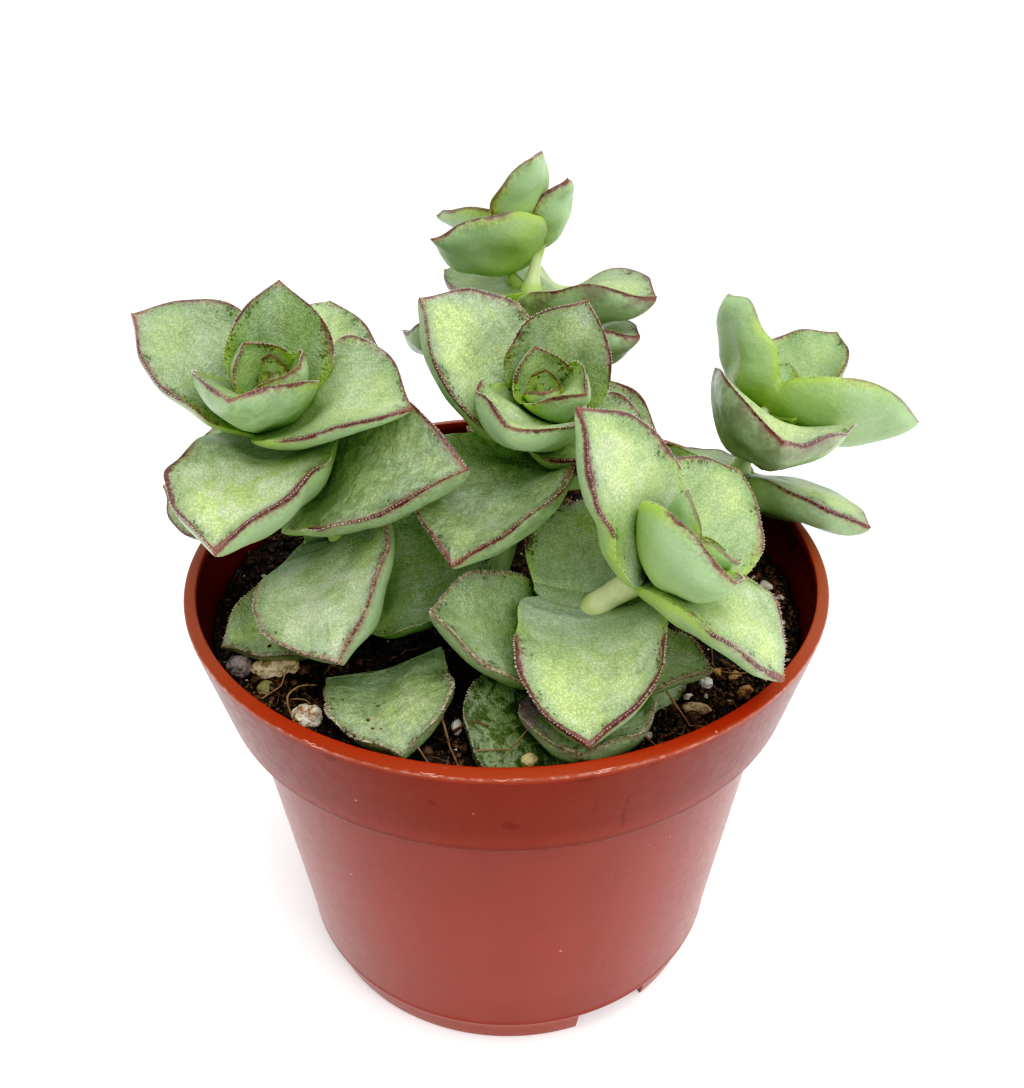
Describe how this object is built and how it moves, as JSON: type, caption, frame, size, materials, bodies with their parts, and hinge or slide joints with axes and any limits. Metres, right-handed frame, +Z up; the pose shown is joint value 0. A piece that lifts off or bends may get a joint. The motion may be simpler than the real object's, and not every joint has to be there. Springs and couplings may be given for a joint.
{
  "type": "potted string of buttons succulent",
  "caption": "Succulent with crossed pairs of pointed, red-edged fleshy leaves threaded on thin stems, growing in a tapered, collared round plastic nursery pot.",
  "frame": {"origin": "middle of the bounding box, at the foot of the pot", "axes": "+Z up along the pot's axis, the viewer's side at -Y, the tallest stem towards +Y"},
  "size_m": [0.1316, 0.108, 0.1396],
  "materials": {
    "pot_plastic": "satin",
    "peat": "matte",
    "leaf": "matte",
    "perlite": "matte",
    "bark": "matte"
  },
  "bodies": {
    "root": {"pot": "pot_plastic", "soil": "peat", "left_stem": "leaf", "centre_stem": "leaf", "right_front_stem": "leaf", "back_stem": "leaf", "right_stem": "leaf", "low_shoot": "leaf", "perlite_grey": "perlite", "perlite_beige": "perlite", "perlite_green": "perlite", "perlite_cream": "perlite", "perlite_left": "perlite", "perlite_front": "perlite", "perlite_right": "perlite", "bark_right": "bark", "bark_far_right": "bark"}
  },
  "joints": []
}
